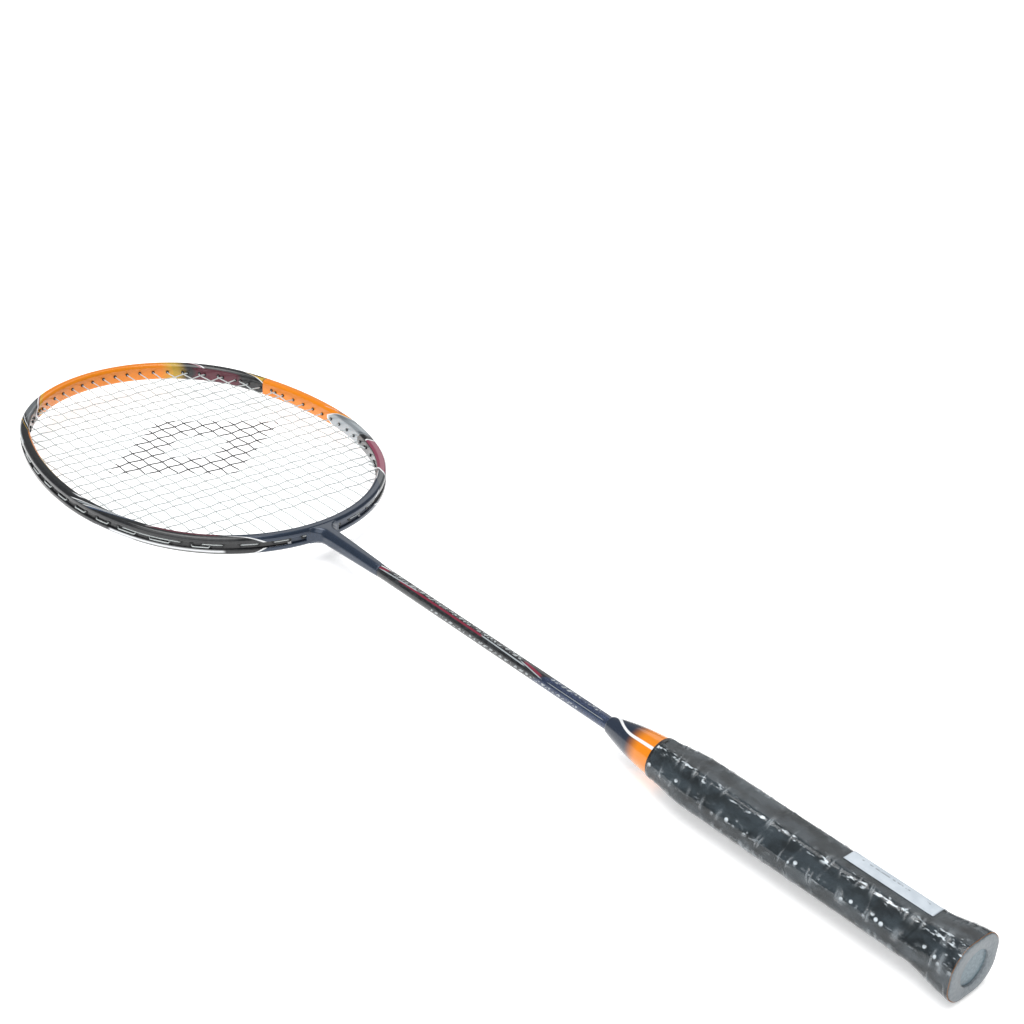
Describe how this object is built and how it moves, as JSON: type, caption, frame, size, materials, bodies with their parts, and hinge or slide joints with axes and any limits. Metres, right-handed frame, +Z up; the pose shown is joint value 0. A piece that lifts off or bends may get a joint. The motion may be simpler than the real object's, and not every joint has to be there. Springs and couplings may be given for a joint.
{
  "type": "badminton racket",
  "caption": "Badminton racket with a hollow oval carbon head, a strung bed in grommets, a slim shaft, a conical cap and a film-wrapped octagonal grip with a flared butt.",
  "frame": {"origin": "centre of the butt's end face, on the long axis of the handle and shaft", "axes": "+Y along the handle and shaft to the tip of the head, +Z square to the string bed on the side of the label, +X to the right when the tip points away and +Z is up"},
  "size_m": [0.19, 0.675, 0.0292],
  "materials": {
    "frame_paint": "glossy lacquer over carbon",
    "tee_metal": "as machined",
    "shaft_paint": "glossy lacquer over carbon",
    "grommet_nylon": "moulded nylon",
    "string_nylon": "smooth coated",
    "cone_plastic": "glossy lacquer",
    "band_vinyl": "satin",
    "core_wood": "planed",
    "tape_paper": "matte",
    "grip_leather": "embossed synthetic leather",
    "film_clear": "clear wrinkled film",
    "butt_plastic": "moulded, satin",
    "disc_plastic": "moulded, fine grain",
    "staple_steel": "bright wire",
    "label_paper": "coated"
  },
  "bodies": {
    "root": {"head_frame": "frame_paint", "tee_joint": "tee_metal", "shaft": "shaft_paint", "tip_grommets": "grommet_nylon", "throat_grommets": "grommet_nylon", "left_grommets": "grommet_nylon", "right_grommets": "grommet_nylon", "main_string": "string_nylon", "cross_string": "string_nylon", "main_string_knots": "string_nylon", "cross_string_knots": "string_nylon", "cone_cap": "cone_plastic", "finishing_band": "band_vinyl", "handle_core": "core_wood", "grip_adhesive_tape": "tape_paper", "grip_wrap": "grip_leather", "grip_film": "film_clear", "butt_cap": "butt_plastic", "butt_cap_staples": "staple_steel", "butt_disc": "disc_plastic", "label_sticker": "label_paper"}
  },
  "joints": []
}
